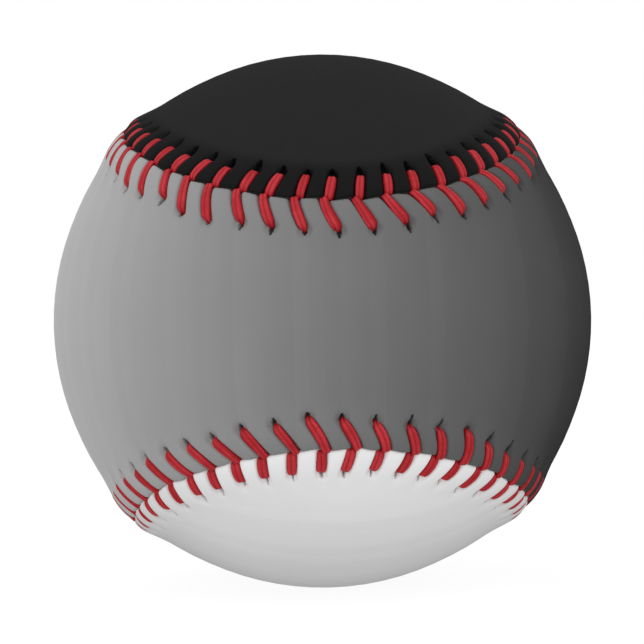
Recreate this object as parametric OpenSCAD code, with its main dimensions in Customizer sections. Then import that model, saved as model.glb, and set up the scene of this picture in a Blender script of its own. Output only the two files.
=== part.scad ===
// Baseball: a cushioned cork centre, three wool windings and a cotton one,
// and a two-panel leather cover sewn shut with 108 double stitches.
// Origin at the ball's centre, +Z up. The waist of the front panel faces -Y.
// Every layer is stacked on the one inside it, so the diameters follow from the walls.

/* [Cushioned cork centre] */
// Diameter of the cork ball
cork_d = 20.64; // [18:0.02:23]
// Wall of the two black rubber half shells
rubber_wall = 3.97; // [3:0.01:5]
// Thickness of the red rubber ring between the half shells
gasket_thick = 0.8; // [0.4:0.05:2]
// Wall of the red rubber skin round the half shells
pill_cover_wall = 2.38; // [1.6:0.01:3.2]

/* [Windings] */
// Depth of the first winding, four-ply grey wool
first_winding_wall = 14.6; // [13:0.01:16]
// Depth of the second winding, three-ply white wool
second_winding_wall = 1.75; // [1:0.01:2.5]
// Depth of the third winding, three-ply grey wool
third_winding_wall = 2.2; // [1.5:0.01:3]
// Depth of the finishing winding, cotton yarn
cotton_winding_wall = 0.35; // [0.2:0.01:0.8]
// Depth of the rubber cement over the cotton
adhesive_wall = 0.1; // [0.05:0.01:0.3]
// Slack between one layer and the next
layer_slack = 0.02; // [0.01:0.005:0.06]

/* [Cover] */
// Thickness of the leather away from the seam
leather_thick = 1.2; // [1:0.05:1.5]
// Slack between the cement and the leather
cover_slack = 0.2; // [0.2:0.01:0.3]
// Width of a panel's waist, from seam to seam over the ball
waist_w = 30.3; // [27:0.1:34]
// How far the blanks are cut outside that waist and inside the lobes' shoulders
shoulder_cut = 0.34; // [0:0.02:0.6]
// Height of the raised seam above the rest of the leather
ridge_h = 1; // [0.8:0.05:1.2]
// Distance from the seam line to the crest of the raised leather
crest_dist = 1.3; // [1.1:0.05:1.8]
// Distance from the seam line to where the raised leather runs out
ridge_dist = 7; // [6:0.1:8]
// Depth of the groove that each leg of a stitch pulls into the leather
stitch_pinch = 0.5; // [0.4:0.02:0.58]
// Gap left between the panels halfway between two stitches
seam_gap = 0.16; // [0.1:0.02:0.3]

/* [Stitching] */
// Number of double stitches round the whole seam
stitch_count = 108; // [104:1:112]
// Distance from the seam line to the middle of a stitch hole
hole_dist = 4.05; // [3.9:0.05:4.5]
// Length of a stitch hole across the seam
hole_len = 1.1; // [0.95:0.05:1.25]
// Width of a stitch hole along the seam
hole_w = 1; // [0.94:0.02:1.2]
// How far the holes of a stitch trail behind its point, along the seam
hole_trail = 1.35; // [0.9:0.05:1.7]
// Width of the waxed thread where it lies in its groove
thread_w = 1.3; // [1.1:0.05:1.5]
// Height of the waxed thread where it lies in its groove
thread_h = 0.6; // [0.5:0.05:0.7]
// Width of the thread where holes and leather squeeze it
thread_squeezed_w = 0.66; // [0.6:0.02:0.74]
// Height of the thread where holes and leather squeeze it
thread_squeezed_h = 0.6; // [0.5:0.05:0.7]
// Distance between the two threads where they cross in the seam
thread_spacing = 0.96; // [0.92:0.02:1]
// Slack round the thread
thread_slack = 0.07; // [0.04:0.01:0.1]

/* [Hidden] */
$fn = 96;

// Radii of the layers, from the inside out
cork_r = cork_d / 2;
rubber_in_r = cork_r + layer_slack;
rubber_r = rubber_in_r + rubber_wall;
pill_in_r = rubber_r + layer_slack;
pill_r = pill_in_r + pill_cover_wall;
first_in_r = pill_r + layer_slack;
first_r = first_in_r + first_winding_wall;
second_in_r = first_r + layer_slack;
second_r = second_in_r + second_winding_wall;
third_in_r = second_r + layer_slack;
third_r = third_in_r + third_winding_wall;
cotton_in_r = third_r + layer_slack;
cotton_r = cotton_in_r + cotton_winding_wall;
adhesive_in_r = cotton_r + layer_slack;
adhesive_r = adhesive_in_r + adhesive_wall;
cover_in_r = adhesive_r + cover_slack;
ball_r = cover_in_r + leather_thick;

// The seam line is the closed curve
//   x = -(a sin t + b sin 3t), y = -2 sqrt(ab) cos 2t, z = a cos t - b cos 3t
// with a + b = 1, which lies on the unit sphere for any a. At t = 0 it crosses the
// middle of the front waist's upper edge, where z = a - b sets the waist's width.
wave_b = (1 - sin(waist_w / ball_r * 90 / PI)) / 2;
wave_a = 1 - wave_b;
rise = 2 * sqrt(wave_a * wave_b);

// The curve's speed is sqrt(speed_sq (1 - ripple cos 4t)), so its length and the
// place at a given share of that length have short series in ripple
speed_sq = wave_a * wave_a + 9 * wave_b * wave_b + 8 * wave_a * wave_b;
ripple = 2 * wave_a * wave_b / speed_sq;
seam_len = 2 * PI * ball_r * sqrt(speed_sq) * (1 - ripple * ripple / 16);
// Degrees round the seam for one unit of its length
turn_per_len = 360 / seam_len;
stitch_turn = 360 / stitch_count;
stitch_len = seam_len / stitch_count;
// Where the first stitch's point sits, as a share of the stitch spacing
first_stitch_share = 0.35;

function seam_angle(u) = u + ripple / 8 * 180 / PI * sin(4 * u);
function unit(v) = v / norm(v);
function on_seam(t) = [
    -(wave_a * sin(t) + wave_b * sin(3 * t)),
    -rise * cos(2 * t),
    wave_a * cos(t) - wave_b * cos(3 * t)
];
function along_seam(t) = unit([
    -(wave_a * cos(t) + 3 * wave_b * cos(3 * t)),
    2 * rise * sin(2 * t),
    3 * wave_b * sin(3 * t) - wave_a * sin(t)
]);

// Direction from the centre to the place that lies u degrees round the seam and
// dist away from it, on the front panel's side (side = 1) or the back panel's (-1).
// The sewn seam leaves the curve by shoulder_cut, three times in each lobe
function toward(u, dist, side) =
    let (
        t = seam_angle(u),
        n = on_seam(t),
        across = cross(n, along_seam(t)),
        angle = (dist - side * shoulder_cut * cos(6 * u)) / ball_r * 180 / PI
    )
    cos(angle) * n + side * sin(angle) * across;
function stitch_at(k) = (k + first_stitch_share) * stitch_turn;

// Stitches: the two legs of a stitch meet at its point side by side, and their
// holes trail behind
leg_lead = thread_spacing / 2;
function leg_offset(dist, side) =
    let (share = min(dist / hole_dist, 1))
    (1 - share) * side * leg_lead - share * hole_trail;
hole_near = hole_dist - hole_len / 2;
hole_far = hole_dist + hole_len / 2;

// Heights of the leather above its plain surface: at the sewn edge, the crest and
// the near and far ends of a hole
edge_rise_share = 0.45;
crest_rise_share = 1;
hole_near_rise_share = 0.6;
hole_far_rise_share = 0.38;
edge_rise = edge_rise_share * ridge_h;
crest_rise = crest_rise_share * ridge_h;
hole_near_rise = hole_near_rise_share * ridge_h;
hole_far_rise = hole_far_rise_share * ridge_h;

// Underneath, the raised leather leaves a channel for the thread
channel_h = thread_squeezed_h + 2 * thread_slack;
channel_r = adhesive_r + channel_h + thread_slack;
under_r = adhesive_r + channel_h / 2 + thread_slack;

// The sewn edge is notched where the two threads of a stitch go down
notch_half_len = leg_lead + thread_squeezed_w / 2 + thread_slack;
notch_dist = max(thread_h, thread_squeezed_h) / 2 + thread_slack;

// Three columns of points to a stitch: one down each side of the leg, and one
// halfway to the next stitch
columns = 3 * stitch_count;
function is_mid(i) = i % 3 == 2;
function column_turn(i, dist, half_w, side) =
    let (
        k = floor(i / 3),
        shift = [-half_w, half_w, stitch_len / 2][i % 3]
    )
    stitch_at(k) + (leg_offset(dist, side) + shift) * turn_per_len;
function row(dist, mid_dist, half_w, radius, mid_radius, side) = [
    for (i = [0 : columns - 1])
        (is_mid(i) ? mid_radius : radius)
        * toward(column_turn(i, dist, half_w, side), is_mid(i) ? mid_dist : dist, side)
];

// Beyond the raised band a panel closes on its own middle line, a run of points on
// the great circle between the centres of its two lobes
lobe_turn = 112;
// Degrees round the seam, from the waist, where a lobe's round end starts
lobe_start = 54;
inner_columns = [144, 112, 96, 80];
inward_shares = [0, 0.27, 0.52, 0.77];
middle_steps = 32;
// Degrees round the seam from the nearer waist, positive towards the first lobe
function from_waist(u, side) =
    let (w = (u + (side > 0 ? 90 : 180)) % 360) w < 180 ? w - 90 : 270 - w;
function middle_dir(angle, side) =
    side > 0 ? [-sin(angle), -cos(angle), 0] : [0, cos(angle), sin(angle)];
function middle_at(u, side) =
    middle_dir(lobe_turn * max(-1, min(1, from_waist(u, side) / lobe_start)), side);
function between(p, q, share) =
    let (angle = acos(p * q))
    (sin((1 - share) * angle) * p + sin(share * angle) * q) / sin(angle);
function inner_row(j, radius, side) = [
    for (i = [0 : inner_columns[j] - 1])
        let (u = 360 * i / inner_columns[j])
        radius * between(toward(u, ridge_dist, side), middle_at(u, side), inward_shares[j])
];
function middle_row(radius, side) = [
    for (k = [0 : middle_steps]) radius * middle_dir(lobe_turn * (2 * k / middle_steps - 1), side)
];
// The middle line walked there and back, starting abreast of u = 0
function middle_index(q, side) =
    let (w = (q + (side > 0 ? 0 : middle_steps / 2)) % (2 * middle_steps))
    w <= middle_steps / 2 ? middle_steps / 2 + w
    : w <= 3 * middle_steps / 2 ? 3 * middle_steps / 2 - w
    : w - 3 * middle_steps / 2;
// How far round the seam each step of that walk lies: none faces a lobe's round end,
// whose points all join the end of the middle line
function walk_middle(q, side) =
    let (
        quarter = middle_steps / 2,
        part = floor(q / quarter),
        along = (q % quarter + 0.5) * lobe_start / quarter,
        outward = part % 2 == (side > 0 ? 0 : 1)
    )
    90 * part + (outward ? along : 90 - lobe_start + along);

// Closed rings of points joined by triangles, also where their counts differ: the
// sides of both rings are taken in the order of their middles
tie = 1e-6;
function ring_index(base, count) = [for (i = [0 : count - 1]) base + i];
function even_middles(ring) = [for (i = [0 : len(ring) - 1]) 360 * (i + 0.5) / len(ring)];
function count_below(middles, value) = len([for (m = middles) if (m < value) m]);
function zip(a, b, b_middles) =
    let (n = len(a), m = len(b), a_middles = even_middles(a))
    concat(
        [for (i = [0 : n - 1])
            [a[i], a[(i + 1) % n], b[count_below(b_middles, a_middles[i] - tie) % m]]],
        [for (j = [0 : m - 1])
            [b[(j + 1) % m], b[j], a[count_below(a_middles, b_middles[j] + tie) % n]]]
    );
function zip_even(a, b) = zip(a, b, even_middles(b));
// Two rings of the same columns, with or without the cells of the stitch holes
function strip(a, b, open) = [
    for (i = [0 : len(a) - 1])
        if (!(open && i % 3 == 0))
            for (face = [
                [a[i], a[(i + 1) % len(a)], b[i]],
                [b[i], a[(i + 1) % len(a)], b[(i + 1) % len(a)]]
            ]) face
];
function flip(faces) = [for (face = faces) [face[0], face[2], face[1]]];
function quad(a, b, c, d) = [[a, b, c], [a, c, d]];

function flat(lists) = [for (list = lists) for (item = list) item];

// One panel of the cover: the raised band along the seam, a plain field, the same
// again underneath, the sewn edge and the walls of the stitch holes
module cover_panel(side) {
    half_w = hole_w / 2;
    top_rows = [
        row(notch_dist, seam_gap / 2, notch_half_len,
            ball_r + edge_rise - stitch_pinch, ball_r + edge_rise, side),
        row(crest_dist, crest_dist, thread_w / 2,
            ball_r + crest_rise - stitch_pinch, ball_r + crest_rise, side),
        row(hole_near, hole_near, half_w,
            ball_r + hole_near_rise - stitch_pinch, ball_r + hole_near_rise, side),
        row(hole_far, hole_far, half_w,
            ball_r + hole_far_rise - stitch_pinch, ball_r + hole_far_rise, side)
    ];
    under_rows = [
        row(notch_dist, seam_gap / 2, notch_half_len, channel_r, channel_r, side),
        row(hole_near, hole_near, half_w, channel_r, channel_r, side),
        row(hole_far, hole_far, half_w, channel_r, channel_r, side)
    ];
    // The row at each hole's near end, on top and underneath; the next is at its far end
    top_near = 2;
    under_near = 1;
    fields = len(inner_columns);
    top_field = [for (j = [0 : fields - 1]) inner_row(j, ball_r, side)];
    under_field = [for (j = [0 : fields - 1]) inner_row(j, cover_in_r, side)];
    rings = concat(top_rows, top_field, [middle_row(ball_r, side)],
                   under_rows, under_field, [middle_row(cover_in_r, side)]);
    bases = [for (r = 0, sum = 0; r < len(rings); sum = sum + len(rings[r]), r = r + 1) sum];
    index = [for (r = [0 : len(rings) - 1]) ring_index(bases[r], len(rings[r]))];
    top_middle = len(top_rows) + fields;
    under_first = top_middle + 1;
    under_middle = under_first + len(under_rows) + fields;
    walk = [for (q = [0 : 2 * middle_steps - 1]) middle_index(q, side)];
    walk_middles = [for (q = [0 : 2 * middle_steps - 1]) walk_middle(q, side)];
    top_faces = concat(
        flat([for (r = [0 : len(top_rows) - 2]) strip(index[r], index[r + 1], r == top_near)]),
        flat([for (r = [len(top_rows) - 1 : top_middle - 2]) zip_even(index[r], index[r + 1])]),
        zip(index[top_middle - 1], [for (w = walk) bases[top_middle] + w], walk_middles)
    );
    under_faces = concat(
        flat([for (r = [0 : len(under_rows) - 2])
            strip(index[under_first + r], index[under_first + r + 1], r == under_near)]),
        flat([for (r = [len(under_rows) - 1 : under_middle - under_first - 2])
            zip_even(index[under_first + r], index[under_first + r + 1])]),
        zip(index[under_middle - 1], [for (w = walk) bases[under_middle] + w], walk_middles)
    );
    edge_faces = strip(index[under_first], index[0], false);
    near = [index[top_near], index[under_first + under_near]];
    far = [index[top_near + 1], index[under_first + under_near + 1]];
    hole_faces = flat([
        for (i = [0 : 3 : columns - 1]) concat(
            quad(near[0][i], near[0][i + 1], near[1][i + 1], near[1][i]),
            quad(near[0][i + 1], far[0][i + 1], far[1][i + 1], near[1][i + 1]),
            quad(far[0][i + 1], far[0][i], far[1][i], far[1][i + 1]),
            quad(far[0][i], near[0][i], near[1][i], far[1][i])
        )
    ]);
    faces = concat(top_faces, flip(under_faces), edge_faces, hole_faces);
    polyhedron(points = flat(rings), faces = side > 0 ? flip(faces) : faces);
}

// One needle's thread, a single length that sews every other leg on each side: up
// through a hole, over the raised leather, down into the seam and on beneath the
// other panel to its next hole
leg_rest = thread_h / 2 + thread_slack;
function leg_side(k, strand) = (k + strand) % 2 == 0 ? 1 : -1;
function leg_point(k, dist, radius, side) =
    radius * toward(stitch_at(k) + leg_offset(dist, side) * turn_per_len, dist, side);
function leg_points(k, side) = [
    leg_point(k, hole_dist, under_r, side),
    leg_point(k, hole_dist, ball_r + hole_near_rise - stitch_pinch + leg_rest, side),
    leg_point(k, crest_dist, ball_r + crest_rise - stitch_pinch + leg_rest, side),
    leg_point(k, 0, ball_r + edge_rise - stitch_pinch + leg_rest, side),
    leg_point(k, 0, under_r, side)
];
leg_widths = [thread_squeezed_w, hole_w - 4 * thread_slack, thread_w,
              thread_squeezed_w, thread_squeezed_w];
leg_heights = [thread_squeezed_h, thread_h, thread_h, thread_h, thread_squeezed_h];
// The thread's top is narrower than the face that lies on the leather
top_w_shares = [1, 0.8, 0.6, 0.8, 1];

function run_dir(path, i) = unit(path[i + 1] - path[i]);

module stitch_thread(strand) {
    legs = [for (k = [0 : stitch_count - 1]) leg_points(k, leg_side(k, strand))];
    path = flat(legs);
    last = len(path) - 1;
    per_leg = len(legs[0]);
    seam_top = per_leg - 2;
    // Each ring of four points lies in the plane that halves the bend, and its width
    // is level, square to the leg above or to the run beneath the leather
    rings = [
        for (i = [0 : last])
            let (
                k = floor(i / per_leg),
                j = i % per_leg,
                side = leg_side(k, strand),
                arrives = j == 0 && i > 0,
                leaves = j == per_leg - 1 && i < last,
                run = arrives ? path[i] - path[i - 1]
                    : leaves ? path[i + 1] - path[i]
                    : legs[k][seam_top] - legs[k][1],
                wide = unit(cross(path[i], run)) * (arrives ? -side : side),
                bend = run_dir(path, max(i - 1, 0)) + run_dir(path, min(i, last - 1)),
                high = cross(bend, wide) / (bend * bend) * leg_heights[j],
                upper = side > 0 ? top_w_shares[j] : 1,
                lower = side > 0 ? 1 : top_w_shares[j],
                half = leg_widths[j] / 2
            )
            [
                path[i] + high + wide * half * upper,
                path[i] + high - wide * half * upper,
                path[i] - high - wide * half * lower,
                path[i] - high + wide * half * lower
            ]
    ];
    sides = len(rings[0]);
    walls = [
        for (i = [0 : last - 1]) for (c = [0 : sides - 1])
            for (face = quad(i * sides + c, i * sides + (c + 1) % sides,
                             (i + 1) * sides + (c + 1) % sides, (i + 1) * sides + c)) face
    ];
    ends = concat(flip(quad(0, 1, 2, 3)), quad(last * sides, last * sides + 1,
                                               last * sides + 2, last * sides + 3));
    polyhedron(points = flat(rings), faces = flip(concat(walls, ends)));
}

module shell(inner_r, outer_r) {
    difference() {
        sphere(r = outer_r);
        sphere(r = inner_r);
    }
}

// Half shell of rubber, cut short of the middle by half the ring and its slack
module rubber_half() {
    foot = gasket_thick / 2 + layer_slack;
    difference() {
        shell(rubber_in_r, rubber_r);
        translate([0, 0, foot - rubber_r]) cube(2 * rubber_r, center = true);
    }
}

module cork_core() {
    color("#b98a5a") sphere(r = cork_r);
}
module rubber_shell_upper() {
    color("#1d1d1f") rubber_half();
}
module rubber_shell_lower() {
    color("#1d1d1f") mirror([0, 0, 1]) rubber_half();
}
module rubber_gasket() {
    color("#a3262b") rotate_extrude()
        translate([rubber_in_r, -gasket_thick / 2]) square([rubber_wall, gasket_thick]);
}
module pill_cover() {
    color("#8f2226") shell(pill_in_r, pill_r);
}
module wool_winding_first() {
    color("#9b9a96") shell(first_in_r, first_r);
}
module wool_winding_second() {
    color("#e9e6dc") shell(second_in_r, second_r);
}
module wool_winding_third() {
    color("#8d8c88") shell(third_in_r, third_r);
}
module cotton_winding() {
    color("#f1eee4") shell(cotton_in_r, cotton_r);
}
module adhesive_coat() {
    color("#d9cfae") shell(adhesive_in_r, adhesive_r);
}
module cover_panel_front() {
    color("#747474") cover_panel(1);
}
module cover_panel_back() {
    color("#3c3c3c") cover_panel(-1);
}
module stitch_thread_one() {
    color("#c4242c") stitch_thread(0);
}
module stitch_thread_two() {
    color("#b81f27") stitch_thread(1);
}

cork_core();
rubber_shell_upper();
rubber_shell_lower();
rubber_gasket();
pill_cover();
wool_winding_first();
wool_winding_second();
wool_winding_third();
cotton_winding();
adhesive_coat();
cover_panel_front();
cover_panel_back();
stitch_thread_one();
stitch_thread_two();
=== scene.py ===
"""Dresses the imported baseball: two printed leather panels, the waxed thread that sews them
and the finish of every layer inside. Lengths are millimetres until a mesh is placed."""

import math

import bpy
import numpy as np
from mathutils import Matrix, Vector


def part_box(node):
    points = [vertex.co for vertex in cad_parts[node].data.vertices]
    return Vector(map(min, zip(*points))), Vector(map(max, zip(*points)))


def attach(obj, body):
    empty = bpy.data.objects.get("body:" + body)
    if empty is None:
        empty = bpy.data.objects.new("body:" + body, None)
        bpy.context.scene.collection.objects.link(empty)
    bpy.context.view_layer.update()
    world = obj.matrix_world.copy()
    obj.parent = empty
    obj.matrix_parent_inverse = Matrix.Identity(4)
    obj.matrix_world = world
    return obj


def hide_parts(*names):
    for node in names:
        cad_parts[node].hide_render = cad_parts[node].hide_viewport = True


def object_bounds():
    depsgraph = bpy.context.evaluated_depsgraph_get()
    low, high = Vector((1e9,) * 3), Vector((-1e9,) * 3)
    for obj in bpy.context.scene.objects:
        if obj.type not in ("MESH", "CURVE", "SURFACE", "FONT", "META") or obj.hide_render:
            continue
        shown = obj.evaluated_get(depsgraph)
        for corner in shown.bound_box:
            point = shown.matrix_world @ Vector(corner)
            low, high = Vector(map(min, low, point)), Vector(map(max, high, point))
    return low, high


MM = 0.001
BODY = "root"

# Ball, seam and stitches, stacked on the cement whose radius the frame gives
COVER_SLACK = 0.2
LEATHER = 1.2
WAIST = 30.3
SHOULDER_CUT = 0.34
RIDGE = 1.0
CREST_DIST = 1.3
RIDGE_REACH = 7.2
# The pressed ball is a shade wide and flat, within the tolerance of its rule
OVAL = np.array([1.003, 1.0, 0.995])
STITCHES = 108
# Place of the first stitch, as a share of the spacing
FIRST_STITCH = 0.35

# The camera as measured on the photograph, in ball radii, pixels and radians
PHOTO_SIZE = 644
BALL_CENTRE_PX = (322.5, 321.0)
OUTLINE_PX = 268.0
EYE_RADII = 7.16
PITCH_TILT = 0.0127
YAW_TILT = 0.0576
ROLL_TILT = 0.0183
SENSOR_MM = 36.0

LUCK = np.random.default_rng(108)


def deselect():
    """Leaves nothing selected."""
    bpy.ops.object.select_all(action="DESELECT")


def colour(code):
    """A colour written as #rrggbb, in linear light."""
    parts = [int(code[i : i + 2], 16) / 255 for i in (1, 3, 5)]
    linear = [p / 12.92 if p <= 0.04045 else ((p + 0.055) / 1.055) ** 2.4 for p in parts]
    return (*linear, 1.0)


def smooth(low, high, value):
    """Runs smoothly from 0 at low to 1 at high."""
    x = np.clip((value - low) / (high - low), 0, 1)
    return x * x * (3 - 2 * x)


def hump(place, centre, width):
    """1 at the centre, falling to next to nothing two widths away from it."""
    return np.exp(-(((place - centre) / width) ** 2))


def unit(v):
    """Vectors of length one along the last axis."""
    return v / np.linalg.norm(v, axis=-1, keepdims=True)


# The seam

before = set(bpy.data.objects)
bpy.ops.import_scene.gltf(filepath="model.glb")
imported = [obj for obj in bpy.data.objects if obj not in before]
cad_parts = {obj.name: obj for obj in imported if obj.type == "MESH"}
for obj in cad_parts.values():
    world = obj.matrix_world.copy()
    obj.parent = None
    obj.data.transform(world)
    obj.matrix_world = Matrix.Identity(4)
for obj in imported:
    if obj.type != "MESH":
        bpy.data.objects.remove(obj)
cad_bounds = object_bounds()
CEMENT_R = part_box("adhesive_coat")[1].x / MM
BALL_R = CEMENT_R + COVER_SLACK + LEATHER
WAVE_B = (1 - math.sin(WAIST / BALL_R / 2)) / 2
WAVE_A = 1 - WAVE_B
RISE = 2 * math.sqrt(WAVE_A * WAVE_B)
SPEED_SQ = WAVE_A**2 + 9 * WAVE_B**2 + 8 * WAVE_A * WAVE_B
RIPPLE = 2 * WAVE_A * WAVE_B / SPEED_SQ
SEAM_LEN = 2 * math.pi * BALL_R * math.sqrt(SPEED_SQ) * (1 - RIPPLE**2 / 16)
STITCH_LEN = SEAM_LEN / STITCHES


def seam_frame(along):
    """Outward, forward and front-side directions of the seam, so many mm round it."""
    u = along / SEAM_LEN * 2 * np.pi
    t = u + RIPPLE / 8 * np.sin(4 * u)
    outward = np.stack(
        [
            -(WAVE_A * np.sin(t) + WAVE_B * np.sin(3 * t)),
            -RISE * np.cos(2 * t),
            WAVE_A * np.cos(t) - WAVE_B * np.cos(3 * t),
        ],
        -1,
    )
    forward = unit(
        np.stack(
            [
                -(WAVE_A * np.cos(t) + 3 * WAVE_B * np.cos(3 * t)),
                2 * RISE * np.sin(2 * t),
                3 * WAVE_B * np.sin(3 * t) - WAVE_A * np.sin(t),
            ],
            -1,
        )
    )
    return outward, forward, np.cross(outward, forward)


# How the real stitches differ a little from one another, in mm. The front panel is
# side 1 and the back panel side -1. Stitches are counted from the middle of the upper
# lobe towards the left, and the places where the cut edges stray by half stitches
FRONT, BACK = 1, -1
STITCH_NO = np.arange(STITCHES)
EDGE_NO = np.arange(2 * STITCHES) / 2
# 1 at the middle of the upper lobe and -1 at the middle of the lower one
ABOVE = np.cos(2 * np.pi * STITCH_NO / STITCHES)


def stray(mean, spread, count=STITCHES):
    """One seeded length per stitch about a mean, none further off than two spreads."""
    return mean + LUCK.normal(0, spread, count).clip(-2 * spread, 2 * spread)


# The sewer's spacing drifts half a millimetre over half the seam
DRIFT_MEAN = 0.09
DRIFT = 0.25
STITCH_AT = (STITCH_NO + FIRST_STITCH) * STITCH_LEN
STITCH_AT += DRIFT_MEAN - DRIFT * ABOVE + stray(0, 0.07)
# A leg starts ahead of its stitch at the seam, trails behind it at the hole, and ends so
# far out. Its bow is 1 where it is straight
LEAD = {FRONT: 0.27, BACK: -0.27}
TRAIL = {FRONT: stray(1.5, 0.14), BACK: stray(1.0, 0.14)}
THREAD_END = {FRONT: stray(3.85, 0.3), BACK: stray(3.3, 0.16)}
SLIT_END = {FRONT: stray(4.75, 0.2), BACK: stray(4.45, 0.2)}
SLIT_HALF_W = {FRONT: stray(0.22, 0.04), BACK: stray(0.25, 0.04)}
SLIT_TAPER = {FRONT: 0.8, BACK: 0.4}
# The back panel's holes are torn wider and longer on the lobe that shows above
TORN_LONGER = 0.22
TORN_WIDER = 0.11
SLIT_END[BACK] += TORN_LONGER * ABOVE
SLIT_HALF_W[BACK] += TORN_WIDER * ABOVE
BOW = {FRONT: stray(1.2, 0.18), BACK: stray(1.25, 0.18)}
# The cut edges wander a little to either side, a quarter and three quarters of the way
# from one stitch to the next, and are drawn in where a lobe narrows to the waist, furthest
# at one corner
WANDER = stray(0, 0.12, 2 * STITCHES)
FIRST_WANDER = FIRST_STITCH + 0.25
WANDER_REACH = 3.0
DRAWN_IN = 0.75
CORNER_DRAWN_IN = 0.45
DEGREES_FROM_LOBE = np.abs((EDGE_NO / STITCHES * 360 + 90) % 180 - 90)
WANDER -= DRAWN_IN * hump(DEGREES_FROM_LOBE, centre=41, width=5)
WANDER -= CORNER_DRAWN_IN * hump(EDGE_NO, centre=42.5, width=3.5)
# Legs are fuller at the hole, or at the seam where this is below 0
SWELL = {FRONT: stray(0.1, 0.1), BACK: stray(0.0, 0.08)}
# Past the end of the upper lobe the sewer's pull has hooked the front ones, and left them
# full at the hole
HOOKED = hump(STITCH_NO, centre=102, width=4.5)
BOW[FRONT] -= 0.5 * HOOKED
SWELL[FRONT] += 0.4 * HOOKED
# Round the lower lobe they start out long and full at the hole, and end up short and
# narrow there, with more of the hole bare
LONG = hump(STITCH_NO, centre=45, width=2)
SHORT = hump(STITCH_NO, centre=61, width=5)
THREAD_END[FRONT] += 0.4 * LONG - 0.7 * SHORT
TRAIL[FRONT] -= 0.4 * LONG + 0.5 * SHORT**2
SWELL[FRONT] += 0.4 * LONG - 0.5 * SHORT


def wander(along):
    """How far the seam strays to the front side, so many mm round it."""
    knots = 2 * (along / STITCH_LEN - FIRST_WANDER)
    low = np.floor(knots).astype(int)
    share = (1 - np.cos(np.pi * (knots - low))) / 2
    return WANDER[low % len(WANDER)] * (1 - share) + WANDER[(low + 1) % len(WANDER)] * share


def toward(along, dist, side):
    """Direction of the place dist mm from the seam on the front or back panel's side."""
    outward, _, across = seam_frame(along)
    cut = SHOULDER_CUT * np.cos(6 * along / SEAM_LEN * 2 * np.pi)
    strayed = dist + side * (wander(along) * np.exp(-np.abs(dist) / WANDER_REACH) - cut)
    angle = (strayed / BALL_R)[..., None]
    return np.cos(angle) * outward + side * np.sin(angle) * across


def leg_line(k, dist, side):
    """Where the leg of stitch k lies along the seam, dist mm away from it."""
    share = np.clip(dist / THREAD_END[side][k], 0, 1) ** BOW[side][k]
    start = STITCH_AT[k] + LEAD[side]
    end = STITCH_AT[k] - TRAIL[side][k]
    return start + (end - start) * share


# The leather

# Each fade runs between two distances, taken from the seam for the skirt, the puffs and
# the channel, and from the thread's end for the groove and the pull
EDGE_DROP_SHARE = 0.3
# Past the raised seam the leather still stands a little proud of the ball, and settles on
# to it over twice the distance
SKIRT = 0.28
SKIRT_FADE = (3, 15)
GROOVE = 0.58
GROOVE_FLOOR = 0.5
GROOVE_LIP = 0.95
GROOVE_FADE = (-0.3, 1.4)
PUFF = 0.16
PUFF_FADE = (1.6, 5.0)
PULL = 0.2
PULL_W = 0.55
PULL_RISE = (-0.9, 0.3)
PULL_FADE = (0.8, 2.8)
ROUNDED = 0.25
ROUNDED_OVER = 0.12
THINNEST = 0.1
# A hole starts under the thread, by a share of its bare length, and where it comes out
# its width is this share of the usual one
SLIT_START_SHARE = -0.6
SLIT_MOUTH_SHARE = 1.2
SLIT_SLOPE = 0.14
SLIT_DEPTH = 0.8
CHANNEL_H = 0.58
CHANNEL_FADE = (4.8, 7)


def ridge(dist):
    """Height of the raised seam, before the thread pulls on it."""
    inner = 1 - EDGE_DROP_SHARE * ((CREST_DIST - dist) / CREST_DIST) ** 2
    fall = np.clip((dist - CREST_DIST) / (RIDGE_REACH - CREST_DIST), 0, 1)
    outer = np.cos(fall * np.pi / 2) ** 2
    skirt = SKIRT * (1 - smooth(*SKIRT_FADE, dist))
    return (RIDGE - SKIRT) * np.where(dist < CREST_DIST, inner, outer) + skirt


def slit(k, shift, dist, side):
    """1 inside a stitch hole, a cut that starts under the thread and narrows away from
    the seam, and 0 outside."""
    start = THREAD_END[side][k]
    past = (dist - start) / (SLIT_END[side][k] - start)
    taper = SLIT_MOUTH_SHARE - SLIT_TAPER[side] * past
    half_w = SLIT_HALF_W[side][k] * taper * np.sqrt(np.clip(1 - past**4, 0, 1))
    in_length = (past < 1) & (past > SLIT_START_SHARE)
    return smooth(0, 1, (half_w - np.abs(shift)) / SLIT_SLOPE + 0.5) * in_length


def relief(k, shift, dist, side):
    """Height of the leather over the plain ball: a raised seam that puffs up between the
    stitches, a groove under each leg, the pull round its hole and a rounded cut edge."""
    past_end = dist - THREAD_END[side][k]
    across_groove = 1 - smooth(GROOVE_FLOOR, GROOVE_LIP, np.abs(shift))
    groove = GROOVE * across_groove * (1 - smooth(*GROOVE_FADE, past_end))
    between_legs = (1 - np.cos(2 * np.pi * shift / STITCH_LEN)) / 2
    puff = PUFF * between_legs * (1 - smooth(*PUFF_FADE, dist))
    along_pull = smooth(*PULL_RISE, past_end) * (1 - smooth(*PULL_FADE, past_end))
    pull = PULL * hump(shift, 0, PULL_W) * along_pull
    edge = ROUNDED * np.exp(-dist / ROUNDED_OVER)
    top = ridge(dist) - groove + puff - pull - edge - SLIT_DEPTH * slit(k, shift, dist, side)
    return np.maximum(top, underside(dist) + THINNEST)


def underside(dist):
    """Height of the leather's lower face, which leaves a channel for the thread."""
    return CHANNEL_H * (1 - smooth(*CHANNEL_FADE, dist)) - LEATHER


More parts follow.
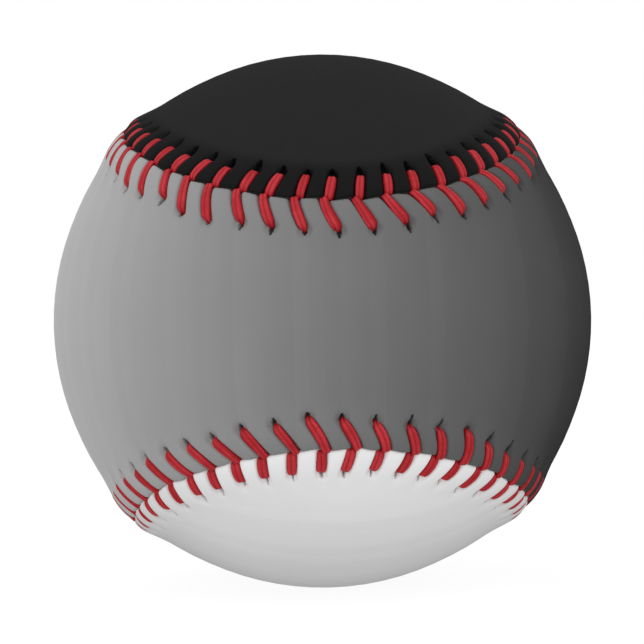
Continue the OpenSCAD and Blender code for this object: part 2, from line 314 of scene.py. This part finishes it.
# Columns of points across the seam, in mm from the line of each leg, and rows in mm from
# the seam, then in shares of the way to the panel's middle
LEG_SHIFTS = np.array([0.05, 0.17, 0.32, 0.48, 0.64, 0.8, 0.98, 1.35])
SHIFTS = np.concatenate([-LEG_SHIFTS[::-1], LEG_SHIFTS, [STITCH_LEN / 2]])
BAND = np.concatenate(
    [
        [0.04, 0.12, 0.26, 0.5, 0.85],
        np.arange(1.25, 2.6, 0.4),
        np.arange(2.8, 5.2, 0.15),
        [5.35, 5.6, 6.0, 6.45, 7.0, 7.6],
    ]
)
FIELD = np.linspace(0, 1, 10)[1:]
UNDER_BAND = np.array([0.1, 1.3, 3.5, 4.8, 5.9, 7.6])
UNDER_FIELD = np.linspace(0, 1, 5)[1:]
# The cut edge is tucked in a little under its top, and bare leather shows on it. Its top corner is also
# painted pale as a highlight
TUCK_SHARE = 0.6
TUCK_DROP = 0.12
CORNER_BARE_AND_HIGHLIGHT = 0.7
# The painted shade along the seam fades out between these distances, and what lies far away is past it
SEAM_SHADE_FADE = (3.6, 6.2)
FAR = 99.0
# A panel's middle line turns so far from its waist into each lobe, and the seam from this
# far past the waist faces the end of it
LOBE_TURN = math.radians(112)
LOBE_START = math.radians(54)
# Points nearer to each other than this are joined
MERGE = 0.001
LEATHER_CREASE_DEG = 50
THREAD_CREASE_DEG = 70


def middle_direction(u, side):
    """The point on a panel's middle line that faces the seam u radians round it."""
    w = np.mod(u + (np.pi / 2 if side > 0 else np.pi), 2 * np.pi)
    from_waist = np.where(w < np.pi, w - np.pi / 2, 3 * np.pi / 2 - w)
    angle = LOBE_TURN * np.clip(from_waist / LOBE_START, -1, 1)
    zero = np.zeros_like(angle)
    if side > 0:
        return np.stack([-np.sin(angle), -np.cos(angle), zero], -1)
    return np.stack([zero, np.cos(angle), np.sin(angle)], -1)


def between(p, q, share):
    """Directions on the great circle from p to q."""
    angle = np.arccos(np.clip((p * q).sum(-1, keepdims=True), -1, 1))
    return (np.sin((1 - share) * angle) * p + np.sin(share * angle) * q) / np.sin(angle)


def grid_of(name, columns, rows):
    """A flat sheet of columns by rows cells, and each vertex's column and row."""
    deselect()
    bpy.ops.mesh.primitive_grid_add(x_subdivisions=columns, y_subdivisions=rows, size=1)
    sheet = bpy.context.object
    sheet.name = name
    co = np.zeros(len(sheet.data.vertices) * 3, np.float32)
    sheet.data.vertices.foreach_get("co", co)
    co = co.reshape(-1, 3)
    column = np.rint((co[:, 0] + 0.5) * columns).astype(int)
    row = np.rint((co[:, 1] + 0.5) * rows).astype(int)
    return sheet, column, row


def move_points(sheet, points):
    """Puts each vertex at its point on the true ball, pressed to the real one."""
    sheet.data.vertices.foreach_set("co", (points * OVAL * MM).astype(np.float32).ravel())


def add_value(sheet, title, values):
    """Stores a value at each vertex, for the material to read."""
    layer = sheet.data.attributes.new(title, "FLOAT", "POINT")
    layer.data.foreach_set("value", values.astype(np.float32))


def close_up(piece, angle):
    """Joins the edges that now lie on each other, caps open ends and smooths the faces."""
    deselect()
    piece.select_set(True)
    bpy.context.view_layer.objects.active = piece
    bpy.ops.object.mode_set(mode="EDIT")
    bpy.ops.mesh.select_all(action="SELECT")
    bpy.ops.mesh.remove_doubles(threshold=MERGE * MM)
    bpy.ops.mesh.fill_holes(sides=0)
    bpy.ops.mesh.normals_make_consistent(inside=False)
    bpy.ops.object.mode_set(mode="OBJECT")
    bpy.ops.object.shade_smooth_by_angle(angle=math.radians(angle))


def leather_panel(name, side):
    """One figure-eight panel: a sheet rolled out from under its own middle, round the
    sewn edge, over the raised seam and on to the middle again."""
    columns = STITCHES * len(SHIFTS)
    i = np.arange(columns)
    k = i // len(SHIFTS)
    shift = SHIFTS[i % len(SHIFTS)]
    flat = np.zeros(columns)
    rim = toward(leg_line(k, BAND[-1], side) + shift, flat + BAND[-1], side)
    middle = middle_direction(2 * np.pi * i / columns, side)
    field_width = BALL_R * np.arccos((rim * middle).sum(-1))
    rows = []
    values = {"hole_shade": [], "raw_edge_and_highlight": [], "seam_shade": []}

    def add_row(points, hole=0.0, bare=0.0, dist=FAR):
        rows.append(points)
        values["hole_shade"].append(flat + hole)
        values["raw_edge_and_highlight"].append(flat + bare)
        values["seam_shade"].append(flat + 1 - smooth(*SEAM_SHADE_FADE, dist))

    def band_row(dist, height):
        return (BALL_R + height)[:, None] * toward(leg_line(k, dist, side) + shift, flat + dist, side)

    for share in UNDER_FIELD[::-1]:
        add_row((BALL_R - LEATHER) * between(rim, middle, share))
    for dist in UNDER_BAND[::-1]:
        add_row(band_row(dist, flat + underside(dist)))
    edge_height = relief(k, shift, BAND[0], side)
    add_row(band_row(BAND[0], (edge_height + underside(0)) / 2), bare=1.0)
    add_row(band_row(BAND[0] * TUCK_SHARE, edge_height - TUCK_DROP), bare=1.0)
    for dist in BAND:
        # Painted shade goes into the holes
        hole = slit(k, shift, dist, side)
        add_row(band_row(dist, relief(k, shift, dist, side)), hole, CORNER_BARE_AND_HIGHLIGHT * (dist == BAND[0]), dist)
    for share in FIELD:
        height = ridge(BAND[-1] + share * field_width) * (share < 1)
        add_row((BALL_R + height)[:, None] * between(rim, middle, share))

    sheet, column, row = grid_of(name, columns, len(rows) - 1)
    move_points(sheet, np.array(rows)[row, column % columns])
    for title, shares in values.items():
        add_value(sheet, title, np.array(shares)[row, column % columns])
    close_up(sheet, LEATHER_CREASE_DEG)
    return sheet


# The thread

THREAD_W = {FRONT: 1.31, BACK: 1.21}
THREAD_H = 0.66
# One ply's width, and the middle and width of its top, as shares of the thread's width. The
# top is left lit and the rest of the ply takes painted shade
PLY_W_SHARE = 0.62
PLY_TOP_SHARE = 0.24
LIT_TOP_W_SHARE = 0.14
SECTION_STEPS = 8
SAMPLES = 2
# Stations of a leg, from its hole to the seam. The first four are measured back from the
# thread's end, the others from the seam. Each has a distance, a height over the leather
# (over the plain ball where it is below the surface), and shares of width and height
FROM_HOLE = [
    (-0.18, -0.92, 0.55, 0.7),
    (-0.2, -0.12, 0.72, 0.85),
    (-0.45, 0.24, 0.88, 0.95),
    (-1.0, 0.33, 1.0, 1.0),
]
FROM_SEAM = {
    FRONT: [
        (2.0, 0.34, 1.02, 1.0),
        (1.35, 0.34, 0.97, 1.0),
        (0.85, 0.35, 0.92, 1.0),
        (0.35, 0.4, 0.88, 1.0),
        (0.0, 0.4, 0.86, 1.0),
        (-0.14, 0.1, 0.76, 0.85),
        (-0.1, -0.92, 0.55, 0.7),
    ],
    BACK: [
        (1.8, 0.34, 1.04, 1.0),
        (1.35, 0.33, 1.02, 1.0),
        (0.9, 0.29, 1.0, 1.0),
        (0.6, 0.2, 0.98, 1.0),
        (0.4, -0.02, 0.93, 0.95),
        (0.34, -0.35, 0.8, 0.85),
        (0.25, -0.92, 0.55, 0.7),
    ],
}
BELOW_SURFACE = [0, 1, 9, 10]
# The stretch that lies on the leather, from its last station near the hole to the seam
LIES_FROM = len(FROM_HOLE) - 1
LIES_TO = 7
STATION_GAP = 0.4
# The plies lean by a little in each leg and turn by more along it, in degrees
LEAN_SPREAD = 12
TURN_MEAN = 30
TURN_SPREAD = 16
FAT_SPREAD = 0.05


def thread_section():
    """Outline of two plies side by side, with a crease above and below, and the painted
    shade at each of its points, none on the top of a ply and most in the crease and down its sides."""
    ply = PLY_W_SHARE / 2
    centre = 0.5 - ply
    sweep = math.acos(-centre / ply)
    arc = np.linspace(-sweep, sweep, SECTION_STEPS + 1)
    right = np.stack([centre + ply * np.cos(arc), ply * np.sin(arc)], -1)
    outline = np.concatenate([right[:-1], -right[:-1]])
    outline[:, 1] /= PLY_W_SHARE
    ply_shade = 1 - hump(np.abs(outline[:, 0]), PLY_TOP_SHARE, LIT_TOP_W_SHARE)
    return outline, ply_shade


def leg_stations(k, side):
    """Centre points, width directions, widths and heights along one leg."""
    near_hole = np.array(FROM_HOLE)
    near_hole[:, 0] += THREAD_END[side][k]
    dist, lift, wide, high = np.concatenate([near_hole, FROM_SEAM[side]]).T
    # On a short leg the next station keeps clear of the last one near the hole
    dist[LIES_FROM + 1] = min(dist[LIES_FROM + 1], dist[LIES_FROM] - STATION_GAP)
    surface = ridge(dist) - GROOVE
    surface[BELOW_SURFACE] = 0
    points = (BALL_R + surface + lift)[:, None] * toward(leg_line(k, dist, side), dist, side)
    run = points[LIES_TO] - points[LIES_FROM]
    width_dir = unit(np.cross(unit(points), run)) * side
    swollen = 1 + SWELL[side][k] * (dist / THREAD_END[side][k] - 0.5)
    return points, width_dir, wide * swollen * THREAD_W[side], high * THREAD_H


def smooth_path(keys, samples):
    """A smooth curve through the keys, with so many samples to a stretch."""
    before = np.concatenate([keys[:1], keys[:-1]])
    after = np.concatenate([keys[1:], keys[-1:]])
    beyond = np.concatenate([keys[2:], keys[-1:], keys[-1:]])
    out = []
    for t in np.arange(samples) / samples:
        bend = (2 * before - 5 * keys + 4 * after - beyond) * t**2
        twist = (3 * keys - before - 3 * after + beyond) * t**3
        out.append(0.5 * (2 * keys + (after - before) * t + bend + twist))
    path = np.stack(out, 1).reshape(-1, keys.shape[1])
    return path[: (len(keys) - 1) * samples + 1]


def stitch_thread(name, strand):
    """One needle's thread, which sews every other leg on each side without a break."""
    keys = []
    for k in range(STITCHES):
        side = FRONT if (k + strand) % 2 == 0 else BACK
        points, width_dir, wide, high = leg_stations(k, side)
        lean = math.radians(LUCK.normal(0, LEAN_SPREAD))
        swing = math.radians(LUCK.normal(TURN_MEAN, TURN_SPREAD)) * side
        turn = lean + swing * np.linspace(-0.5, 0.5, len(points))
        fat = LUCK.normal(1, FAT_SPREAD)
        keys.append(np.column_stack([points, width_dir, wide * fat, high, turn]))
    path = smooth_path(np.concatenate(keys), SAMPLES)
    centre, wide, high, turn = path[:, :3], path[:, 6:7], path[:, 7:8], path[:, 8:9]
    ahead = unit(np.gradient(centre, axis=0))
    wide_dir = unit(path[:, 3:6] - (path[:, 3:6] * ahead).sum(-1, keepdims=True) * ahead)
    high_dir = np.cross(ahead, wide_dir)
    outline, ply_shade = thread_section()
    # The plies turn inside the flattened thread
    x = np.cos(turn) * outline[:, 0] - np.sin(turn) * outline[:, 1]
    y = np.sin(turn) * outline[:, 0] + np.cos(turn) * outline[:, 1]
    rings = (
        centre[:, None]
        + (x * wide)[..., None] * wide_dir[:, None]
        + (y * high)[..., None] * high_dir[:, None]
    )

    sheet, column, row = grid_of(name, len(rings) - 1, len(outline))
    around = row % len(outline)
    move_points(sheet, rings[column, around])
    add_value(sheet, "ply_shade", ply_shade[around])
    # The map runs in mm along the thread and once round it
    steps = np.linalg.norm(np.diff(centre, axis=0), axis=1)
    travelled = np.concatenate([[0], np.cumsum(steps)])
    loops = np.zeros(len(sheet.data.loops), np.int32)
    sheet.data.loops.foreach_get("vertex_index", loops)
    uv = np.stack([travelled[column[loops]], row[loops] / len(outline)], -1)
    sheet.data.uv_layers.active.data.foreach_set("uv", uv.astype(np.float32).ravel())
    close_up(sheet, THREAD_CREASE_DEG)
    return sheet


# Materials

BLACK_INK = 0.14
WHITE_INK = 0.97
# Black ink near the seam, darker to paint in shade there
SEAM_SHADE_INK = 0.08
INK_GAMMA = 2.2
# Each print's tone in the middle of its panel, what it loses per radian along it, the
# axes that the angle is taken from, and how pale the panel's cut edge shows, as bare leather
# and a painted highlight
FRONT_PRINT = {"middle": 0.484, "slope": 0.212, "along": "X", "facing_sign": -1.0, "edge": 0.6}
BACK_PRINT = {"middle": 0.475, "slope": 0.185, "along": "Z", "facing_sign": 1.0, "edge": 0.1}
RAW_LEATHER_AND_HIGHLIGHT = "#c4c1bb"
# The print head lays the fade in narrow passes, which show as faint bands, and the ink
# takes a little unevenly in patches
PASS_MM = 1.9
PASS_SPREAD = 0.012
PATCH_MM = 14.29
PATCH_SPREAD = 0.03
# How dark the painted shade in a hole is in leather of this tone or darker, and in white leather
DARK_TONE = 0.3
HOLE_SHADES = (0.95, 0.5)
# The leather's marks run from this size down to its pores, five halvings finer. The grain
# between them is too fine to show, so it is drawn this coarse
PORE_MM = 2.381
PORE_DEPTH = 0.2
GRAIN_MM = 0.625
GRAIN_DEPTH = 0.1
# Fibres lean a full turn round the thread in so many mm. Cotton's own are too fine to
# show, so they are drawn as coarse as so many round it. The dye is paler in patches
TWIST_MM = 6
FIBRES_ROUND = 26.0
FIBRE_BREAKS_PER_MM = 0.7
FIBRE_DEPTH = 0.16
DYE_PATCH_MM = 3.333
DYE_DARK = "#c0262f"
DYE_PALE = "#e6444e"
# Painted shade on the plies' flanks and in the crease between them
PAINTED_SHADE_RED = "#a50c16"
PLY_SHADE_SHARE = 0.9


def start_material(name):
    """An empty material with its shader, ready for a pattern."""
    material = bpy.data.materials.new(name)
    material.use_nodes = True
    tree = material.node_tree
    tree.nodes.clear()
    out = tree.nodes.new("ShaderNodeOutputMaterial")
    shader = tree.nodes.new("ShaderNodeBsdfPrincipled")
    tree.links.new(shader.outputs["BSDF"], out.inputs["Surface"])
    return material, tree, shader


def put(tree, kind, inputs=None, **settings):
    """Adds a node with its settings, and links or fills its inputs."""
    made = tree.nodes.new(kind)
    for key, value in settings.items():
        setattr(made, key, value)
    for socket, value in (inputs or {}).items():
        if isinstance(value, bpy.types.NodeSocket):
            tree.links.new(value, made.inputs[socket])
        else:
            made.inputs[socket].default_value = value
    return made


def print_tone(tree, place, printed):
    """Tone of the ink, from white to black along the panel, with its bands and patches."""
    axes = put(tree, "ShaderNodeSeparateXYZ", {0: place})
    outward = {0: axes.outputs["Y"], 1: printed["facing_sign"]}
    facing = put(tree, "ShaderNodeMath", outward, operation="MULTIPLY")
    sides = {0: axes.outputs[printed["along"]], 1: facing.outputs[0]}
    angle = put(tree, "ShaderNodeMath", sides, operation="ARCTAN2")
    line = {0: angle.outputs[0], 1: -printed["slope"], 2: printed["middle"]}
    fade = put(tree, "ShaderNodeMath", line, operation="MULTIPLY_ADD")
    cloud_size = {"Vector": place, "Scale": 1 / (PATCH_MM * MM), "Detail": 4.0}
    cloud = put(tree, "ShaderNodeTexNoise", cloud_size)
    uneven = {0: cloud.outputs["Fac"], 1: PATCH_SPREAD, 2: -PATCH_SPREAD / 2}
    patches = put(tree, "ShaderNodeMath", uneven, operation="MULTIPLY_ADD")
    step = put(tree, "ShaderNodeMath", {0: angle.outputs[0], 1: PASS_MM / BALL_R}, operation="SNAP")
    passes = put(tree, "ShaderNodeTexWhiteNoise", {"W": step.outputs[0]}, noise_dimensions="1D")
    faint = {0: passes.outputs["Value"], 1: PASS_SPREAD, 2: -PASS_SPREAD / 2}
    bands = put(tree, "ShaderNodeMath", faint, operation="MULTIPLY_ADD")
    tone = put(tree, "ShaderNodeMath", {0: fade.outputs[0], 1: patches.outputs[0]}, operation="ADD")
    tone = put(tree, "ShaderNodeMath", {0: tone.outputs[0], 1: bands.outputs[0]}, operation="ADD")
    # Painted shade: near the seam the black ink is darker still
    seam_shading = put(tree, "ShaderNodeAttribute", attribute_name="seam_shade").outputs["Fac"]
    least = {"Value": seam_shading, "To Min": BLACK_INK, "To Max": SEAM_SHADE_INK}
    blackest = put(tree, "ShaderNodeMapRange", least)
    range_of_ink = {"Value": tone.outputs[0], "Min": blackest.outputs[0], "Max": WHITE_INK}
    return put(tree, "ShaderNodeClamp", range_of_ink).outputs[0]


def leather_colour(tree, tone, printed):
    """Colour of the ink, paler on the cut edge as bare leather and a painted highlight, and with painted
    shade in the stitch holes.
    """
    ink = put(tree, "ShaderNodeMath", {0: tone, 1: INK_GAMMA}, operation="POWER").outputs[0]
    grey = put(tree, "ShaderNodeCombineColor", {0: ink, 1: ink, 2: ink}).outputs[0]
    bare = {"Factor": printed["edge"], "A": grey, "B": colour(RAW_LEATHER_AND_HIGHLIGHT)}
    cut = put(tree, "ShaderNodeMix", bare, data_type="RGBA")
    # Bare leather on the cut edge, with a painted highlight on its top corner
    on_edge = put(tree, "ShaderNodeAttribute", attribute_name="raw_edge_and_highlight").outputs["Fac"]
    along_edge = {"Factor": on_edge, "A": grey, "B": cut.outputs["Result"]}
    edged = put(tree, "ShaderNodeMix", along_edge, data_type="RGBA")
    # Painted shade in the stitch holes, lighter in white leather
    hole = put(tree, "ShaderNodeAttribute", attribute_name="hole_shade").outputs["Fac"]
    tones = {"Value": tone, "From Min": DARK_TONE, "From Max": WHITE_INK}
    shades = {"To Min": HOLE_SHADES[0], "To Max": HOLE_SHADES[1]}
    shade = put(tree, "ShaderNodeMapRange", tones | shades)
    depth = put(tree, "ShaderNodeMath", {0: hole, 1: shade.outputs[0]}, operation="MULTIPLY")
    darkened = {"Factor": depth.outputs[0], "A": edged.outputs["Result"], "B": colour("#000000")}
    return put(tree, "ShaderNodeMix", darkened, data_type="RGBA").outputs["Result"]


def printed_leather(name, printed):
    """Smooth synthetic leather with a fade printed along the panel: low satin gloss,
    shallow pores, very fine grain and a raw edge that shows paler than its ink, partly as a
    painted highlight."""
    material, tree, shader = start_material(name)
    place = put(tree, "ShaderNodeTexCoord").outputs["Object"]
    tone = print_tone(tree, place, printed)
    tree.links.new(leather_colour(tree, tone, printed), shader.inputs["Base Color"])
    pore_size = {"Vector": place, "Scale": 1 / (PORE_MM * MM), "Detail": 5.0, "Roughness": 0.6}
    pores = put(tree, "ShaderNodeTexNoise", pore_size).outputs["Fac"]
    grain_size = {"Vector": place, "Scale": 1 / (GRAIN_MM * MM)}
    grain = put(tree, "ShaderNodeTexVoronoi", grain_size, feature="SMOOTH_F1").outputs["Distance"]
    pitted = {"Height": pores, "Strength": 0.12, "Distance": PORE_DEPTH * MM}
    coarse = put(tree, "ShaderNodeBump", pitted).outputs[0]
    grained = {"Height": grain, "Strength": 0.1, "Distance": GRAIN_DEPTH * MM, "Normal": coarse}
    fine = put(tree, "ShaderNodeBump", grained)
    tree.links.new(fine.outputs[0], shader.inputs["Normal"])
    satin = put(tree, "ShaderNodeMapRange", {"Value": pores, "To Min": 0.55, "To Max": 0.68})
    tree.links.new(satin.outputs[0], shader.inputs["Roughness"])
    shader.inputs["IOR"].default_value = 1.4
    shader.inputs["Specular IOR Level"].default_value = 0.42
    return material


def waxed_thread():
    """Red two-ply cotton drawn through wax: fine twisted fibres under a soft gloss, with a
    painted highlight on top of each ply and painted shade between them."""
    material, tree, shader = start_material("waxed_cotton_thread")
    uv = put(tree, "ShaderNodeUVMap").outputs["UV"]
    place = put(tree, "ShaderNodeTexCoord").outputs["Object"]
    parts = put(tree, "ShaderNodeSeparateXYZ", {0: uv})
    twist = {0: parts.outputs["X"], 1: 1 / TWIST_MM, 2: parts.outputs["Y"]}
    lean = put(tree, "ShaderNodeMath", twist, operation="MULTIPLY_ADD")
    spread = put(tree, "ShaderNodeMath", {0: lean.outputs[0], 1: FIBRES_ROUND}, operation="MULTIPLY")
    breaks = {0: parts.outputs["X"], 1: FIBRE_BREAKS_PER_MM}
    length = put(tree, "ShaderNodeMath", breaks, operation="MULTIPLY")
    fibre_at = put(tree, "ShaderNodeCombineXYZ", {0: spread.outputs[0], 1: length.outputs[0]})
    fibre_size = {"Vector": fibre_at.outputs[0], "Scale": 1.0, "Detail": 3.0, "Roughness": 0.6}
    fibres = put(tree, "ShaderNodeTexNoise", fibre_size).outputs["Fac"]
    patch_size = {"Vector": place, "Scale": 1 / (DYE_PATCH_MM * MM), "Detail": 2.0}
    patch = put(tree, "ShaderNodeTexNoise", patch_size).outputs["Fac"]
    tint = put(tree, "ShaderNodeMath", {0: fibres, 1: patch}, operation="MULTIPLY")
    ramp = put(tree, "ShaderNodeMapRange", {"Value": tint.outputs[0], "From Min": 0.14, "From Max": 0.38})
    dyes = {"Factor": ramp.outputs[0], "A": colour(DYE_DARK), "B": colour(DYE_PALE)}
    dyed = put(tree, "ShaderNodeMix", dyes, data_type="RGBA")
    # Painted shade on the flanks and in the crease of each ply, its top left lit
    ply_shade = put(tree, "ShaderNodeAttribute", attribute_name="ply_shade").outputs["Fac"]
    depth = put(tree, "ShaderNodeMath", {0: ply_shade, 1: PLY_SHADE_SHARE}, operation="MULTIPLY")
    shaded = {"Factor": depth.outputs[0], "A": dyed.outputs["Result"], "B": colour(PAINTED_SHADE_RED)}
    plied = put(tree, "ShaderNodeMix", shaded, data_type="RGBA")
    tree.links.new(plied.outputs["Result"], shader.inputs["Base Color"])
    relieved = {"Height": fibres, "Strength": 0.7, "Distance": FIBRE_DEPTH * MM}
    bump = put(tree, "ShaderNodeBump", relieved)
    tree.links.new(bump.outputs[0], shader.inputs["Normal"])
    shader.inputs["Roughness"].default_value = 0.42
    shader.inputs["IOR"].default_value = 1.45
    shader.inputs["Specular IOR Level"].default_value = 0.3
    return material


def layer_material(name, dark, light, grain_mm, stretch, roughness, bump_mm):
    """Mottled finish of a hidden layer: granules of cork, moulded rubber or wound yarn."""
    material, tree, shader = start_material(name)
    place = put(tree, "ShaderNodeTexCoord").outputs["Object"]
    laid = put(tree, "ShaderNodeMapping", {"Vector": place, "Scale": stretch}).outputs[0]
    grain_size = {"Vector": laid, "Scale": 1 / (grain_mm * MM), "Detail": 5.0, "Roughness": 0.6}
    grain = put(tree, "ShaderNodeTexNoise", grain_size).outputs["Fac"]
    mottle = {"Factor": grain, "A": colour(dark), "B": colour(light)}
    tint = put(tree, "ShaderNodeMix", mottle, data_type="RGBA")
    tree.links.new(tint.outputs["Result"], shader.inputs["Base Color"])
    bump = put(tree, "ShaderNodeBump", {"Height": grain, "Strength": 0.6, "Distance": bump_mm * MM})
    tree.links.new(bump.outputs[0], shader.inputs["Normal"])
    shader.inputs["Roughness"].default_value = roughness
    return material


# Pieces

front_panel = leather_panel("printed_front_panel", FRONT)
back_panel = leather_panel("printed_back_panel", BACK)
thread_one = stitch_thread("red_thread_first_needle", 0)
thread_two = stitch_thread("red_thread_second_needle", 1)

front_leather = printed_leather("printed_leather_front", FRONT_PRINT)
back_leather = printed_leather("printed_leather_back", BACK_PRINT)
red_thread = waxed_thread()
DRESSED = (
    (front_panel, "cover_panel_front", "front_leather", front_leather),
    (back_panel, "cover_panel_back", "back_leather", back_leather),
    (thread_one, "stitch_thread_one", "waxed_thread", red_thread),
    (thread_two, "stitch_thread_two", "waxed_thread", red_thread),
)
for piece, cad_node, slot, material in DRESSED:
    piece.data.materials.clear()
    piece.data.materials.append(material)
    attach(piece, BODY)
    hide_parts(cad_node)

# Cork shows light and dark granules, moulded rubber is nearly even with a soft gloss, yarn
# is streaked the way it is wound and has no gloss, and cement dries to a pale shiny film.
# Each row has a node, its material's name, two colours, the size of the grain in mm, how
# it is stretched, roughness and the grain's depth in mm
EVEN = (1.0, 1.0, 1.0)
WOUND = (1.0, 0.25, 2.6)
HIDDEN_LAYERS = (
    ("cork_core", "pressed_cork", "#8a5f38", "#c79a66", 1.111, EVEN, 0.8, 0.3),
    ("rubber_shell_upper", "moulded_black_rubber", "#151516", "#242426", 2.0, EVEN, 0.6, 0.05),
    ("rubber_shell_lower", "moulded_black_rubber_lower", "#151516", "#242426", 2.0, EVEN, 0.6, 0.05),
    ("rubber_gasket", "red_rubber_washer", "#84171c", "#a8262c", 2.0, EVEN, 0.6, 0.05),
    ("pill_cover", "moulded_red_rubber", "#84171c", "#a02429", 2.5, EVEN, 0.55, 0.08),
    ("wool_winding_first", "grey_wool_yarn", "#74736f", "#b1b0ab", 1.667, WOUND, 0.95, 0.4),
    ("wool_winding_second", "white_wool_yarn", "#cfccc1", "#f2f0e8", 1.667, WOUND, 0.95, 0.4),
    ("wool_winding_third", "grey_wool_yarn_outer", "#706f6c", "#a9a8a3", 1.667, WOUND, 0.95, 0.4),
    ("cotton_winding", "cotton_finishing_yarn", "#ddd9cd", "#f6f3ea", 1.111, WOUND, 0.9, 0.2),
    ("adhesive_coat", "rubber_cement_film", "#c8bd98", "#ded4b4", 5.0, EVEN, 0.35, 0.05),
)
for cad_node, *finish in HIDDEN_LAYERS:
    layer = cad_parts[cad_node]
    layer.data.materials.clear()
    layer.data.materials.append(layer_material(*finish))


# Floor, light and camera

# The floor lies this many mm under the ball, and its size and the clip are in metres
FLOOR_DROP = 0.02
FLOOR_SIZE = 4.0
CLIP_START = 0.01


def light_level(tree, seen, fill, shown, mirrored):
    """Strength of a light that fills with one level, shows itself with another and is
    dimmer in reflections, as a tent with dark openings would be."""
    levels = {"Value": seen.outputs["Is Glossy Ray"], "To Min": fill, "To Max": mirrored}
    dim = put(tree, "ShaderNodeMapRange", levels).outputs[0]
    as_shown = {0: seen.outputs["Is Camera Ray"], 1: shown}
    direct = put(tree, "ShaderNodeMath", as_shown, operation="MULTIPLY").outputs[0]
    return put(tree, "ShaderNodeMath", {0: dim, 1: direct}, operation="MAXIMUM").outputs[0]


def white_where_seen(name):
    """Matt white paint that the camera sees as a plain white ground with a faint shadow."""
    material, tree, shader = start_material(name)
    shader.inputs["Base Color"].default_value = colour("#f2f2f2")
    shader.inputs["Roughness"].default_value = 0.9
    seen = put(tree, "ShaderNodeLightPath")
    level = light_level(tree, seen, fill=0.7, shown=1.15, mirrored=0.06)
    glow = put(tree, "ShaderNodeEmission", {"Color": colour("#ffffff"), "Strength": level})
    mostly = {"Value": seen.outputs["Is Camera Ray"], "To Min": 1.0, "To Max": 0.75}
    share = put(tree, "ShaderNodeMapRange", mostly).outputs[0]
    mixed = put(tree, "ShaderNodeMixShader", {0: share, 1: shader.outputs[0], 2: glow.outputs[0]})
    out = next(n for n in tree.nodes if n.type == "OUTPUT_MATERIAL")
    tree.links.new(mixed.outputs[0], out.inputs["Surface"])
    return material


def add_floor():
    """A white floor that lies just under the ball."""
    deselect()
    height = cad_bounds[0].z - FLOOR_DROP * MM
    bpy.ops.mesh.primitive_plane_add(size=FLOOR_SIZE, location=(0, 0, height))
    floor = bpy.context.object
    floor.name = "floor"
    floor.data.materials.append(white_where_seen("matt_white_floor"))


def light_tent():
    """Soft light from all round, whose reflections are bright in front of the ball and
    above it, and dark behind it."""
    world = bpy.data.worlds.new("soft_studio")
    bpy.context.scene.world = world
    world.use_nodes = True
    sky = world.node_tree
    sky.nodes.clear()
    seen = put(sky, "ShaderNodeLightPath")
    toward_light = put(sky, "ShaderNodeTexCoord").outputs["Generated"]
    heading = put(sky, "ShaderNodeSeparateXYZ", {0: toward_light}).outputs["Y"]
    behind = {"Value": heading, "From Min": 0.2, "To Min": 0.4, "To Max": 0.06}
    mirrored = put(sky, "ShaderNodeMapRange", behind).outputs[0]
    level = light_level(sky, seen, fill=0.9, shown=1.0, mirrored=mirrored)
    ground = put(sky, "ShaderNodeBackground", {"Color": colour("#ffffff"), "Strength": level})
    put(sky, "ShaderNodeOutputWorld", {"Surface": ground.outputs[0]})


def softbox(name, place, size, watts):
    """A square lamp that faces the ball's centre."""
    lamp = bpy.data.lights.new(name, "AREA")
    lamp.size = size
    lamp.energy = watts
    made = bpy.data.objects.new(name, lamp)
    made.location = place
    made.rotation_euler = (-Vector(place)).to_track_quat("-Z", "Y").to_euler()
    bpy.context.scene.collection.objects.link(made)


def photo_camera():
    """Turns the measured tilts and the outline's size into a camera."""
    eye = EYE_RADII * BALL_R * MM
    focal_px = OUTLINE_PX * math.sqrt(EYE_RADII**2 - 1)
    level_view = Matrix(((1, 0, 0), (0, 0, 1), (0, -1, 0)))
    tilt = (
        Matrix.Rotation(PITCH_TILT, 3, "X")
        @ Matrix.Rotation(YAW_TILT, 3, "Y")
        @ Matrix.Rotation(ROLL_TILT, 3, "Z")
    )
    view = tilt @ level_view
    right, up, back = (Vector(row) for row in view)
    offset_x = (PHOTO_SIZE / 2 - BALL_CENTRE_PX[0]) / focal_px * eye
    offset_y = (BALL_CENTRE_PX[1] - PHOTO_SIZE / 2) / focal_px * eye
    camera = bpy.data.objects.new("photo_camera", bpy.data.cameras.new("photo_camera"))
    camera.data.sensor_width = SENSOR_MM
    camera.data.lens = focal_px / PHOTO_SIZE * SENSOR_MM
    camera.data.clip_start = CLIP_START
    place = back * eye + right * offset_x + up * offset_y
    camera.matrix_world = Matrix.Translation(place) @ view.transposed().to_4x4()
    bpy.context.scene.collection.objects.link(camera)
    return camera


add_floor()
light_tent()
softbox("key_softbox", place=(-0.2, -0.75, 0.0), size=0.5, watts=0.9)
bpy.context.scene.camera = photo_camera()
bpy.context.scene.view_settings.view_transform = "Standard"
